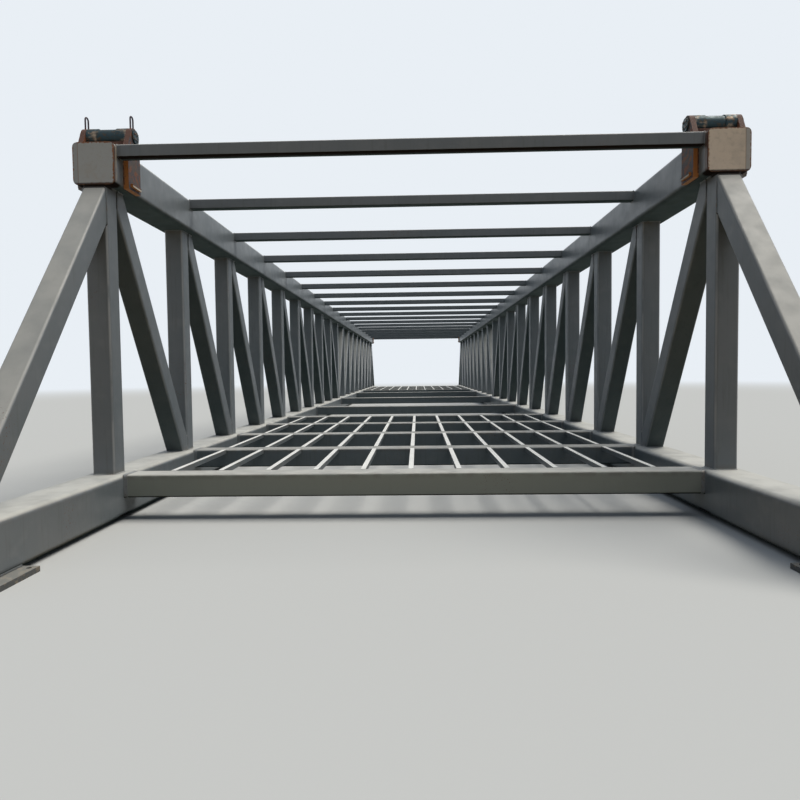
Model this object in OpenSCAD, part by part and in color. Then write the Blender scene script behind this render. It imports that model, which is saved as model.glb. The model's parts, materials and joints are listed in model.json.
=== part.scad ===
// Box truss pipe bridge. X runs across the bridge, Y along it and Z up.
// The origin is on the ground plane under the middle of the span.

/* [Span] */
// Distance between two neighbouring truss nodes
bay = 1950; // [1500:10:1960]
// Number of bays from bearing to bearing, an even number
bay_count = 20; // [14:2:20]
// Length of the bottom chords past the bearings
bottom_overhang = 300; // [280:10:400]
// Length of the top chords past the first and last vertical
top_overhang = 110; // [110:5:300]

/* [Cross section] */
// Distance between the middle planes of the two trusses
truss_spacing = 5920; // [5300:10:7000]
// Clear height between a bottom chord and its top chord
clear_height = 2760; // [2000:10:3600]

/* [Chords] */
// Outside width and height of the square chord tubes
chord_size = 400; // [350:5:450]
// Wall thickness of the chords
chord_wall = 16; // [10:1:20]
// Outside corner radius of the chords
chord_corner = 48; // [32:1:60]
// Thickness of the plates that close the chord ends
cap_thickness = 12; // [8:1:20]
// How far the edge of an end plate stays inside the chord outline
cap_inset = 6; // [2:1:12]

/* [Verticals and diagonals] */
// Outside size of the square web tubes
web_size = 220; // [160:5:250]
// Wall thickness of the web tubes
web_wall = 10; // [6:1:12]
// Outside corner radius of the web tubes
web_corner = 25; // [14:1:30]

/* [End posts] */
// Outside depth of an end post, square to its slope
post_depth = 220; // [180:5:240]
// Wall thickness of the end posts
post_wall = 12; // [6:1:14]
// Distance along the bridge from the foot of an end post to its head
post_run = 2130; // [2000:10:2140]
// How far the middle line of an end post passes the middle of the first vertical at its head
post_head = 45; // [0:5:60]

/* [Floor beams] */
// Depth of a floor beam
beam_depth = 220; // [160:5:300]
// Width of a floor beam
beam_width = 260; // [160:5:300]
// Wall thickness of the floor beams
beam_wall = 10; // [6:1:12]
// Outside corner radius of the floor beams
beam_corner = 20; // [14:1:30]
// Number of bays with stringers at each end of the floor
stringer_bays = 4; // [2:1:4]
// Number of bays between a quarter beam and the stringer floor
quarter_step = 2; // [1:1:2]

/* [Stringers] */
// Number of stringers in a bay
stringer_count = 11; // [5:2:11]
// Distance between two neighbouring stringers
stringer_pitch = 475; // [300:5:480]
// Width of a stringer
stringer_width = 50; // [40:5:80]
// Depth of a stringer
stringer_depth = 50; // [40:5:140]
// Wall thickness of the stringers
stringer_wall = 4; // [3:1:8]

/* [Top struts] */
// Depth of a top strut
strut_depth = 120; // [100:5:200]
// Width of a top strut
strut_width = 120; // [100:5:200]
// Wall thickness of the top struts
strut_wall = 6; // [4:1:10]
// Outside corner radius of the top struts
strut_corner = 14; // [11:1:20]
// How far the struts lie below the top of the top chords
strut_drop = 10; // [5:5:80]

/* [Lifting brackets] */
// Length of a bracket along the chord
bracket_length = 270; // [250:10:400]
// Gap between the first strut and the near edge of a bracket
bracket_gap = 10; // [5:5:60]
// Thickness of a cheek plate
cheek_thickness = 50; // [30:5:60]
// Height of the lower edge of a cheek plate above the underside of the chord
cheek_foot = 10; // [0:5:40]
// Height of the corners where a cheek plate starts to narrow, above the chord
cheek_shoulder = 20; // [0:5:50]
// Radius of the round top of a cheek plate about the pin
eye_radius = 85; // [75:5:100]
// Diameter of the lifting pin
pin_diameter = 105; // [80:5:110]
// Height of the pin centre above the chord
pin_height = 155; // [150:5:180]
// Distance from the near edge of a bracket to the pin centre
pin_setback = 160; // [130:5:165]
// Gap round the pin in the cheek bores
pin_clearance = 0.3; // [0.2:0.1:0.5]
// Diameter of the collars on the pin ends
collar_diameter = 130; // [120:5:150]
// Thickness of a collar
collar_thickness = 16; // [10:2:30]
// Thickness of the plates of a saddle
saddle_thickness = 20; // [12:2:30]
// Gap between the top of a saddle and the pin
saddle_gap = 12; // [5:1:20]
// Gap between the roller round the pin and its saddle
roller_gap = 6; // [4:1:10]
// Gap between an end of the roller and its cheek
roller_play = 2; // [1:1:5]
// Length of each full rim of the roller, beside its groove
roller_rim = 105; // [60:5:140]
// Depth of the groove round the middle of the roller
roller_groove = 8; // [5:1:15]
// Thickness of the ledge along the foot of a cheek
ledge_thickness = 30; // [20:5:40]
// How far a ledge stands out past its cheek
ledge_reach = 25; // [15:5:40]
// Height of a ledge above the underside of the chord
ledge_height = 38; // [30:2:60]
// Distance from the ends of a ledge to the edges of its cheek
ledge_inset = 40; // [10:5:60]
// Rod diameter of the carrying loops on the left brackets
loop_rod = 16; // [10:1:20]
// Width of a carrying loop
loop_width = 75; // [60:5:90]
// Height of a carrying loop
loop_height = 125; // [100:5:150]
// How far the legs of a carrying loop sink into its cheek
loop_root = 16; // [14:2:18]

/* [Bearings] */
// Length of a bearing plate along the bridge
bearing_length = 500; // [400:10:560]
// How far a bearing plate stands out on each side of its chord
bearing_side = 110; // [100:5:150]
// Thickness of a bearing plate
bearing_thickness = 40; // [25:5:60]
// Distance from a bolt hole centre to the edges of its plate
bearing_edge = 50; // [40:5:60]
// Diameter of the anchor bolt holes
bearing_hole = 36; // [24:2:42]

/* [Hidden] */
$fn = 48;

LEFT = -1;
RIGHT = 1;
NEAR = -1;
FAR = 1;

// Nodes are counted from the first vertical, and the bearings lie one bay further out
last_node = bay_count - 2;
mid_node = last_node / 2;
quarter_node = stringer_bays + quarter_step;
half_top = mid_node * bay + top_overhang;
half_bottom = (mid_node + 1) * bay + bottom_overhang;

chord_x = truss_spacing / 2;
inner_x = chord_x - chord_size / 2;
clear_width = 2 * inner_x;

z_bottom = bearing_thickness;
z_floor = z_bottom + chord_size;
z_under = z_floor + clear_height;
z_top = z_under + chord_size;
z_axis_low = z_bottom + chord_size / 2;
z_axis_high = z_under + chord_size / 2;

pin_z = z_top + pin_height;
bearing_width = chord_size + 2 * bearing_side;

post_angle = atan(clear_height / post_run);
diagonal_angle = atan((z_axis_high - z_axis_low) / bay);

steel_paint = "#7c8083";
primer_grey = "#8b8580";
rust_brown = "#7a4630";
dark_steel = "#3b3f42";

function node_y(i) = (i - mid_node) * bay;

// Cross sections, drawn in the XY plane and centred

module rounded_rect(w, h, r) {
    square([w - 2 * r, h], center = true);
    square([w, h - 2 * r], center = true);
    for (x = [-1, 1], y = [-1, 1])
        translate([x * (w / 2 - r), y * (h / 2 - r)]) circle(r = r);
}

module tube_section(w, h, wall, corner) {
    difference() {
        rounded_rect(w, h, corner);
        rounded_rect(w - 2 * wall, h - 2 * wall, corner - wall);
    }
}

// Tubes along the three axes, from their own start

module tube_along_y(w, h, wall, corner, length) {
    rotate([-90, 0, 0]) linear_extrude(length) tube_section(w, h, wall, corner);
}

module tube_across(w, h, wall, corner, length) {
    translate([-length / 2, 0, 0]) rotate([90, 0, 90])
        linear_extrude(length) tube_section(w, h, wall, corner);
}

// A web tube that leans towards +Y, through the point it is moved to
module leaning_tube(w, depth, wall, corner, angle, length) {
    rotate([angle - 90, 0, 0]) translate([0, 0, -length / 2])
        linear_extrude(length) tube_section(w, depth, wall, corner);
}

// Chords

module chord(side, z, half) {
    translate([side * chord_x, -half, z])
        tube_along_y(chord_size, chord_size, chord_wall, chord_corner, 2 * half);
}

module cap_plate(side, end, z, half) {
    translate([side * chord_x, end * (half + cap_thickness / 2), z])
        rotate([90, 0, 0]) translate([0, 0, -cap_thickness / 2]) linear_extrude(cap_thickness)
            rounded_rect(chord_size - 2 * cap_inset, chord_size - 2 * cap_inset, chord_corner - cap_inset);
}

module bottom_chord(side) {
    color(steel_paint) chord(side, z_axis_low, half_bottom);
}

module top_chord(side) {
    color(steel_paint) chord(side, z_axis_high, half_top);
}

module end_plates(end) {
    color(primer_grey) for (side = [LEFT, RIGHT]) {
        cap_plate(side, end, z_axis_low, half_bottom);
        cap_plate(side, end, z_axis_high, half_top);
    }
}

// Verticals, diagonals and end posts

module verticals(side) {
    color(steel_paint) for (i = [0 : last_node])
        translate([side * chord_x, node_y(i), z_floor]) linear_extrude(clear_height)
            tube_section(web_size, web_size, web_wall, web_corner);
}

// The window between two verticals and the chords, open to both sides
module web_window(y_low, y_high) {
    translate([-web_size, y_low, z_floor]) cube([2 * web_size, y_high - y_low, clear_height]);
}

module diagonals(side, end) {
    color(steel_paint) translate([side * chord_x, 0, 0])
        for (i = [0 : mid_node - 1]) {
            y_mid = (node_y(i) + node_y(i + 1)) / 2;
            mirror([0, end == FAR ? 1 : 0, 0]) intersection() {
                translate([0, y_mid, (z_axis_low + z_axis_high) / 2])
                    leaning_tube(web_size, web_size, web_wall, web_corner, 180 - diagonal_angle, 3 * bay);
                web_window(node_y(i) + web_size / 2, node_y(i + 1) - web_size / 2);
            }
        }
}

module end_post(side, end) {
    color(steel_paint) translate([side * chord_x, 0, 0])
        mirror([0, end == FAR ? 1 : 0, 0]) intersection() {
            translate([0, node_y(0) + post_head - post_run / 2, z_floor + clear_height / 2])
                leaning_tube(web_size, post_depth, post_wall, web_corner, post_angle, 3 * bay);
            web_window(-half_bottom, node_y(0) - web_size / 2);
        }
}

// Floor

module floor_beam(i) {
    translate([0, node_y(i), z_floor - beam_depth / 2])
        tube_across(beam_width, beam_depth, beam_wall, beam_corner, clear_width);
}

module floor_beams(list) {
    color(steel_paint) for (i = list) floor_beam(i);
}

module stringers(first) {
    outer = (stringer_count - 1) / 2;
    length = bay - beam_width;
    color(steel_paint) for (i = [first : first + stringer_bays - 1], k = [-outer : outer])
        translate([k * stringer_pitch, node_y(i) + beam_width / 2, z_floor - stringer_depth / 2])
            rotate([-90, 0, 0]) linear_extrude(length) difference() {
                square([stringer_width, stringer_depth], center = true);
                square([stringer_width - 2 * stringer_wall, stringer_depth - 2 * stringer_wall], center = true);
            }
}

// Top struts

module top_struts(list) {
    color(steel_paint) for (i = list)
        translate([0, node_y(i), z_top - strut_drop - strut_depth / 2])
            tube_across(strut_width, strut_depth, strut_wall, strut_corner, clear_width);
}

// Lifting brackets, drawn from the near edge at the near left corner and mirrored to the others

module at_corner(side, end) {
    mirror([side == RIGHT ? 1 : 0, 0, 0]) mirror([0, end == FAR ? 1 : 0, 0])
        translate([-chord_x, node_y(0) + strut_width / 2 + bracket_gap, 0]) children();
}

// Point where the line from p touches a circle about c, above p for turn -1 on its left and 1 on its right
function touch_point(p, c, r, turn) =
    let (d = p - c, angle = atan2(d.y, d.x) + turn * acos(r / norm(d)))
    c + r * [cos(angle), sin(angle)];

// Outline of a cheek in the YZ plane: Y from the near edge, Z from the underside of the chord
module cheek_outline() {
    eye = [pin_setback, chord_size + pin_height];
    near = [0, chord_size + cheek_shoulder];
    far = [bracket_length, chord_size + cheek_shoulder];
    polygon([
        [0, cheek_foot], [bracket_length, cheek_foot], far,
        touch_point(far, eye, eye_radius, 1), touch_point(near, eye, eye_radius, -1), near
    ]);
    translate(eye) circle(r = eye_radius);
}

module pin_bore() {
    translate([0, pin_setback, pin_z]) rotate([0, 90, 0])
        cylinder(d = pin_diameter + 2 * pin_clearance, h = chord_size + 6 * cheek_thickness, center = true);
}

// A cheek plate on the +X face of the chord, with the ledge along its foot
module cheek() {
    face = chord_size / 2 + cheek_thickness;
    difference() {
        translate([chord_size / 2, 0, z_under]) rotate([90, 0, 90])
            linear_extrude(cheek_thickness) cheek_outline();
        pin_bore();
    }
    translate([face, ledge_inset, z_under + ledge_height])
        cube([ledge_reach, bracket_length - 2 * ledge_inset, ledge_thickness]);
}

// A round bar bent to a loop, which stands in the round top of a cheek
module carrying_loop() {
    bend = (loop_width - loop_rod) / 2;
    leg = loop_root + loop_height - bend - loop_rod / 2;
    translate([(chord_size + cheek_thickness) / 2, pin_setback, pin_z + eye_radius - loop_root]) {
        for (y = [-bend, bend]) translate([0, y, 0]) cylinder(d = loop_rod, h = leg);
        translate([0, 0, leg]) rotate([90, 0, 90])
            rotate_extrude(angle = 180) translate([bend, 0]) circle(d = loop_rod);
    }
}

module cheeks(side, end) {
    color(rust_brown) at_corner(side, end) for (s = [0, 1]) mirror([s, 0, 0]) {
        cheek();
        if (side == LEFT) carrying_loop();
    }
}

// A pin with a collar at each end and a grooved roller between the cheeks, which clears the saddle's walls
module pin(side, end) {
    reach = chord_size / 2 + cheek_thickness + pin_clearance;
    roller = norm([eye_radius - saddle_thickness, pin_diameter / 2 + saddle_gap]) - roller_gap;
    length = chord_size - 2 * roller_play;
    color(dark_steel) at_corner(side, end)
        translate([0, pin_setback, pin_z]) rotate([0, 90, 0]) {
            cylinder(d = pin_diameter, h = 2 * (reach + collar_thickness), center = true);
            for (s = [-1, 1]) translate([0, 0, s * (reach + collar_thickness / 2)])
                cylinder(d = collar_diameter, h = collar_thickness, center = true);
            cylinder(r = roller - roller_groove, h = length, center = true);
            for (s = [-1, 1]) translate([0, 0, s * (length - roller_rim) / 2])
                cylinder(r = roller, h = roller_rim, center = true);
        }
}

// A channel across the chord between the cheeks, open to the pin above it
module saddle(side, end) {
    width = 2 * eye_radius;
    height = pin_height - pin_diameter / 2 - saddle_gap;
    color(rust_brown) at_corner(side, end)
        translate([-chord_size / 2, pin_setback - eye_radius, z_top])
            rotate([90, 0, 90]) linear_extrude(chord_size) difference() {
                square([width, height]);
                translate([saddle_thickness, saddle_thickness])
                    square([width - 2 * saddle_thickness, height]);
            }
}

// Bearing plates under the bottom chords

module bearing(side, end) {
    color(dark_steel) translate([side * chord_x, end * (mid_node + 1) * bay, 0]) difference() {
        translate([-bearing_width / 2, -bearing_length / 2, 0])
            cube([bearing_width, bearing_length, bearing_thickness]);
        for (x = [-1, 1], y = [-1, 1])
            translate([x * (bearing_width / 2 - bearing_edge), y * (bearing_length / 2 - bearing_edge), -1])
                cylinder(d = bearing_hole, h = bearing_thickness + 2);
    }
}

bottom_chord(LEFT);  // bottom_chord_left
bottom_chord(RIGHT);  // bottom_chord_right
top_chord(LEFT);  // top_chord_left
top_chord(RIGHT);  // top_chord_right
end_plates(NEAR);  // end_plates_near
end_plates(FAR);  // end_plates_far
verticals(LEFT);  // verticals_left
verticals(RIGHT);  // verticals_right
diagonals(LEFT, NEAR);  // diagonals_near_left
diagonals(RIGHT, NEAR);  // diagonals_near_right
diagonals(LEFT, FAR);  // diagonals_far_left
diagonals(RIGHT, FAR);  // diagonals_far_right
end_post(LEFT, NEAR);  // end_post_near_left
end_post(RIGHT, NEAR);  // end_post_near_right
end_post(LEFT, FAR);  // end_post_far_left
end_post(RIGHT, FAR);  // end_post_far_right
floor_beams([0 : stringer_bays]);  // floor_beams_near
floor_beams([quarter_node]);  // floor_beam_near_quarter
floor_beams([mid_node]);  // floor_beam_middle
floor_beams([last_node - quarter_node]);  // floor_beam_far_quarter
floor_beams([last_node - stringer_bays : last_node]);  // floor_beams_far
stringers(0);  // stringers_near
stringers(last_node - stringer_bays);  // stringers_far
top_struts([0 : mid_node - 1]);  // top_struts_near
top_struts([mid_node]);  // top_strut_middle
top_struts([mid_node + 1 : last_node]);  // top_struts_far
cheeks(LEFT, NEAR);  // cheeks_near_left
cheeks(RIGHT, NEAR);  // cheeks_near_right
cheeks(LEFT, FAR);  // cheeks_far_left
cheeks(RIGHT, FAR);  // cheeks_far_right
pin(LEFT, NEAR);  // pin_near_left
pin(RIGHT, NEAR);  // pin_near_right
pin(LEFT, FAR);  // pin_far_left
pin(RIGHT, FAR);  // pin_far_right
saddle(LEFT, NEAR);  // saddle_near_left
saddle(RIGHT, NEAR);  // saddle_near_right
saddle(LEFT, FAR);  // saddle_far_left
saddle(RIGHT, FAR);  // saddle_far_right
bearing(LEFT, NEAR);  // bearing_near_left
bearing(RIGHT, NEAR);  // bearing_near_right
bearing(LEFT, FAR);  // bearing_far_left
bearing(RIGHT, FAR);  // bearing_far_right
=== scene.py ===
"""Looks of a box truss pipe bridge: finishes for every solid, weld seams, bracket hardware, light and camera."""

from __future__ import annotations

import json
import logging
import math
from dataclasses import dataclass, field
from enum import Enum
from typing import Any, Iterable, Sequence

import bmesh
import bpy
from mathutils import Matrix, Vector

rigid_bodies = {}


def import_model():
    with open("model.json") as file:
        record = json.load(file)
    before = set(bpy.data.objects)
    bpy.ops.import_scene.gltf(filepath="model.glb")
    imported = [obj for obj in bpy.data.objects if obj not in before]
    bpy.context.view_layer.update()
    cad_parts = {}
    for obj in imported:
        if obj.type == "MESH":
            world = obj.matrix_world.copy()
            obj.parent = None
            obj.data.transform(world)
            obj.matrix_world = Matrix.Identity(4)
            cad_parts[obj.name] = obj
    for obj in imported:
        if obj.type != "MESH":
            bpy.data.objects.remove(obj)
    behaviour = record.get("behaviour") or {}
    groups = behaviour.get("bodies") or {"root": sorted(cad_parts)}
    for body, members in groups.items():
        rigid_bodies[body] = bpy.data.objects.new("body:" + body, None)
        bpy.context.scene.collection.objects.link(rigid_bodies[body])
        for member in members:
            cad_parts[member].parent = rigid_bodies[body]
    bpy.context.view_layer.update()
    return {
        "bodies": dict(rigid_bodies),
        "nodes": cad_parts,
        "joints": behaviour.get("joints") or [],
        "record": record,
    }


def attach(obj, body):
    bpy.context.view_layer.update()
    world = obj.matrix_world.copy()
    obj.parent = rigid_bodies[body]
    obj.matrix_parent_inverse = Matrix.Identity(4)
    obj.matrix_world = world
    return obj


LOG = logging.getLogger("pipe_bridge")
BODY = "root"
Socket = bpy.types.NodeSocket
X_AXIS, Y_AXIS, Z_AXIS = Vector((1, 0, 0)), Vector((0, 1, 0)), Vector((0, 0, 1))


# ---------------------------------------------------------------- choices


class Side(Enum):
    """The two trusses, by the sign of X."""

    LEFT = -1
    RIGHT = 1


class End(Enum):
    """The two ends of the bridge, by the sign of Y."""

    NEAR = -1
    FAR = 1


class Slot(Enum):
    """The record's material slots."""

    STEEL = "steel_paint"
    END_PLATE = "end_plate_paint"
    BRACKET = "bracket_rust"
    PIN = "pin_steel"
    BEARING = "bearing_steel"


# ---------------------------------------------------------------- sizes


@dataclass(frozen=True)
class BridgeSizes:
    """Sizes of the steelwork in metres, the same as those of the solids."""

    bay: float = 1.95
    bay_count: int = 20
    truss_spacing: float = 5.92
    clear_height: float = 2.76
    chord: float = 0.40
    chord_corner: float = 0.048
    bottom_overhang: float = 0.30
    top_overhang: float = 0.11
    cap_thickness: float = 0.012
    cap_inset: float = 0.006
    web: float = 0.22
    web_corner: float = 0.025
    post_run: float = 2.13
    post_head: float = 0.045
    beam_width: float = 0.26
    beam_depth: float = 0.22
    beam_corner: float = 0.020
    stringer_bays: int = 4
    quarter_step: int = 2
    stringer_count: int = 11
    stringer_pitch: float = 0.475
    stringer_width: float = 0.05
    stringer_depth: float = 0.05
    strut: float = 0.12
    strut_corner: float = 0.014
    strut_drop: float = 0.01
    bracket_length: float = 0.27
    bracket_gap: float = 0.010
    cheek_thickness: float = 0.05
    eye_radius: float = 0.085
    pin_height: float = 0.155
    pin_setback: float = 0.16
    pin_clearance: float = 0.0003
    collar_thickness: float = 0.016
    bearing_length: float = 0.50
    bearing_thickness: float = 0.04

    @property
    def last_node(self) -> int:
        """Number of the last vertical."""
        return self.bay_count - 2

    @property
    def mid_node(self) -> int:
        """Number of the vertical at midspan."""
        return self.last_node // 2

    @property
    def chord_x(self) -> float:
        """Distance from the middle of the bridge to the middle of a truss."""
        return self.truss_spacing / 2

    @property
    def inner_x(self) -> float:
        """Distance from the middle of the bridge to the inner face of a chord."""
        return self.chord_x - self.chord / 2

    @property
    def z_floor(self) -> float:
        """Height of the top of the bottom chords."""
        return self.bearing_thickness + self.chord

    @property
    def z_under(self) -> float:
        """Height of the underside of the top chords."""
        return self.z_floor + self.clear_height

    @property
    def z_top(self) -> float:
        """Height of the top of the top chords."""
        return self.z_under + self.chord

    @property
    def half_top(self) -> float:
        """Half the length of a top chord."""
        return self.mid_node * self.bay + self.top_overhang

    @property
    def half_bottom(self) -> float:
        """Half the length of a bottom chord."""
        return (self.mid_node + 1) * self.bay + self.bottom_overhang

    @property
    def first_beam(self) -> float:
        """Distance from midspan to the inner faces of the outermost floor beams."""
        return -self.node_y(0) - self.beam_width / 2

    @property
    def bracket_start(self) -> float:
        """Distance from midspan to the edge of a bracket beside the first strut."""
        return -self.node_y(0) - self.strut / 2 - self.bracket_gap

    @property
    def pin_place(self) -> float:
        """Distance from midspan to the middle line of a lifting pin."""
        return self.bracket_start - self.pin_setback

    def node_y(self, i: int) -> float:
        """Place of vertical i along the bridge."""
        return (i - self.mid_node) * self.bay

    def beam_nodes(self) -> list[int]:
        """Lists the verticals that have a floor beam between them.

        Returns:
            Their numbers.
        """
        near = list(range(self.stringer_bays + 1))
        quarter = self.stringer_bays + self.quarter_step
        return near + [quarter, self.mid_node, self.last_node - quarter] + [self.last_node - i for i in near]


SIZES = BridgeSizes()


# ---------------------------------------------------------------- colour and nodes


def linear(hex_colour: str) -> tuple[float, float, float, float]:
    """Turns an sRGB hex colour to linear.

    Args:
        hex_colour: six hex digits after a number sign.

    Returns:
        Red, green, blue and an alpha of one.
    """
    channels = [int(hex_colour[k : k + 2], 16) / 255 for k in (1, 3, 5)]
    return (*[c / 12.92 if c <= 0.04045 else ((c + 0.055) / 1.055) ** 2.4 for c in channels], 1.0)


def add_node(
    tree: bpy.types.NodeTree, kind: str, feeds: Sequence[Any] | dict[int | str, Any] = (), output: int | str = 0,
    **settings: Any,
) -> Any:
    """Adds a node, sets its properties and feeds its inputs.

    Args:
        tree: the node tree that gets the node.
        kind: the node's type name without its ShaderNode prefix.
        feeds: values, hex colours or output sockets, in the order of the inputs or by input name or number.
        output: name or number of the output that is wanted.
        settings: the node's own properties.

    Returns:
        That output socket, or None from a node that has no outputs.
    """
    node = tree.nodes.new("ShaderNode" + kind)
    for key, value in settings.items():
        setattr(node, key, value)
    for key, value in (feeds if isinstance(feeds, dict) else dict(enumerate(feeds))).items():
        if isinstance(value, Socket):
            tree.links.new(value, node.inputs[key])
        else:
            node.inputs[key].default_value = linear(value) if isinstance(value, str) else value
    return node.outputs[output] if node.outputs else None


SOFT = {"interpolation_type": "SMOOTHSTEP"}
# colour of the painted shadow, with welding soot, under the ends of the top chords
SHADOW_AND_SOOT = "#1E1512"
ARC_MIDDLE = 0.3  # share of a corner's radius by which the middle of its arc stays inside the square corner


@dataclass
class Surface:
    """The node tree of one material, with the place and the facing that its patterns read.

    Reach is the distance from the bridge's middle planes, and lean is the facing without its sign.
    """

    tree: bpy.types.NodeTree
    place: Socket = field(init=False)
    point: dict[str, Socket] = field(init=False)
    facing: dict[str, Socket] = field(init=False)
    reach: dict[str, Socket] = field(init=False)
    lean: dict[str, Socket] = field(init=False)

    def __post_init__(self) -> None:
        """Adds the nodes that every pattern reads."""
        self.place = self.add("TexCoord", output="Object")
        normal = self.add("NewGeometry", output="Normal")
        self.point = {axis: self.add("SeparateXYZ", (self.place,), axis) for axis in "XYZ"}
        self.facing = {axis: self.add("SeparateXYZ", (normal,), axis) for axis in "XYZ"}
        self.reach = {axis: self.add("Math", (self.point[axis],), operation="ABSOLUTE") for axis in "XYZ"}
        self.lean = {axis: self.add("Math", (self.facing[axis],), operation="ABSOLUTE") for axis in "XYZ"}

    def add(
        self, kind: str, feeds: Sequence[Any] | dict[int | str, Any] = (), output: int | str = 0, **settings: Any
    ) -> Any:
        """Adds a node to this material's tree, as add_node does."""
        return add_node(self.tree, kind, feeds, output, **settings)

    def patches(
        self, size_mm: float, low: float, high: float, most: float = 1.0, detail: float = 4.0,
        longer: tuple[float, float, float] = (1.0, 1.0, 1.0),
    ) -> Socket:
        """Makes irregular patches of a real size.

        Args:
            size_mm: size of a patch in millimetres.
            low: noise level where a patch starts to show.
            high: noise level where it is full.
            most: strength of a full patch.
            detail: number of finer octaves at its edge.
            longer: how many times longer the patches are along each axis.

        Returns:
            A mask from 0 outside to the full strength inside.
        """
        shrink = tuple(1 / times for times in longer)
        placed = self.add("Mapping", {"Vector": self.place, "Scale": shrink})
        cloud = self.add("TexNoise", {"Vector": placed, "Scale": 1000 / size_mm, "Detail": detail})
        return self.add("MapRange", (cloud, low, high, 0.0, most), **SOFT)

    def gap(self, axis: str, middle: float) -> Socket:
        """Measures how far a point lies from the planes at plus and minus a distance.

        Args:
            axis: the axis that the planes are square to.
            middle: distance of the planes from the origin.

        Returns:
            The distance in metres.
        """
        past = self.add("Math", (self.reach[axis], middle), operation="SUBTRACT")
        return self.add("Math", (past,), operation="ABSOLUTE")

    def painted_shadow_and_soot(self) -> Socket:
        """Marks painted shadow and welding soot at the ends of the top chords, within 100 mm of the end plates.

        Returns:
            A mask of all that faces down there, and of a line 25 mm high about the level of the underside.
        """
        below = self.add("MapRange", (self.facing["Z"], -0.3, -0.6), **SOFT)
        line = self.add("MapRange", (self.gap("Z", SIZES.z_under), 0.030, 0.018))
        either = self.add("Math", (below, line), operation="MAXIMUM")
        ends = self.add("MapRange", (self.gap("Y", SIZES.half_top), 0.14, 0.10, 0.0, 0.95))
        return self.add("Math", (either, ends), operation="MULTIPLY")

    def coats(self, base: str | Socket, *layers: tuple[Socket, str]) -> Socket:
        """Lays coats of colour over each other.

        Args:
            base: hex colour or socket of the lowest coat.
            layers: a mask and a hex colour for each further coat, from the lowest up.

        Returns:
            The colour of the stack.
        """
        stack = base
        for mask, colour in layers:
            stack = self.add("Mix", {0: mask, 6: stack, 7: colour}, 2, data_type="RGBA")
        return stack

    def relief(self, size_mm: float, depth_mm: float, strength: float, detail: float = 2.0) -> Socket:
        """Makes small bumps.

        Args:
            size_mm: size of a bump across.
            depth_mm: its height.
            strength: how much of it shows.
            detail: number of finer octaves.

        Returns:
            The normal of the surface.
        """
        height = self.patches(size_mm, 0.2, 0.8, detail=detail)
        return self.add("Bump", {"Strength": strength, "Distance": depth_mm / 1000, "Height": height})


# ---------------------------------------------------------------- finishes


@dataclass(frozen=True)
class Finish:
    """A surface finish that builds its own material."""

    name: str
    roughness: float = 0.5
    metallic: float = 0.0
    ior: float | None = None
    # whether the finish darkens the top chord ends with painted shadow and soot
    shadowed_and_sooty: bool = False

    def colour(self, surface: Surface) -> Socket:
        """Returns the colour of the surface."""
        raise NotImplementedError

    def bumps(self, surface: Surface) -> Socket | None:
        """Returns the normal of the surface, or None for a smooth one."""
        return None

    def dullness(self, surface: Surface) -> Socket | None:
        """Returns the roughness of the surface, or None for an even one."""
        return None

    def shine(self, surface: Surface) -> Socket | None:
        """Returns the specular level, nearly none under painted shadow and soot, or None where there is none."""
        return surface.add("MapRange", (surface.painted_shadow_and_soot(), 0.0, 1.0, 0.5, 0.02)) if self.shadowed_and_sooty else None

    def build(self) -> bpy.types.Material:
        """Makes the material once and finds it again after that.

        Returns:
            The material.
        """
        made = bpy.data.materials.get(self.name)
        if made:
            return made
        material = bpy.data.materials.new(self.name)
        material.use_nodes = True
        material.node_tree.nodes.clear()
        surface = Surface(material.node_tree)
        feeds = {"Base Color": self.colour(surface), "Metallic": self.metallic, "Roughness": self.roughness}
        feeds.update({"IOR": self.ior} if self.ior else {})
        patterns = {
            "Normal": self.bumps(surface), "Roughness": self.dullness(surface),
            "Specular IOR Level": self.shine(surface),
        }
        feeds.update({name: pattern for name, pattern in patterns.items() if pattern is not None})
        surface.add("OutputMaterial", (surface.add("BsdfPrincipled", feeds),))
        return material


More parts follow.
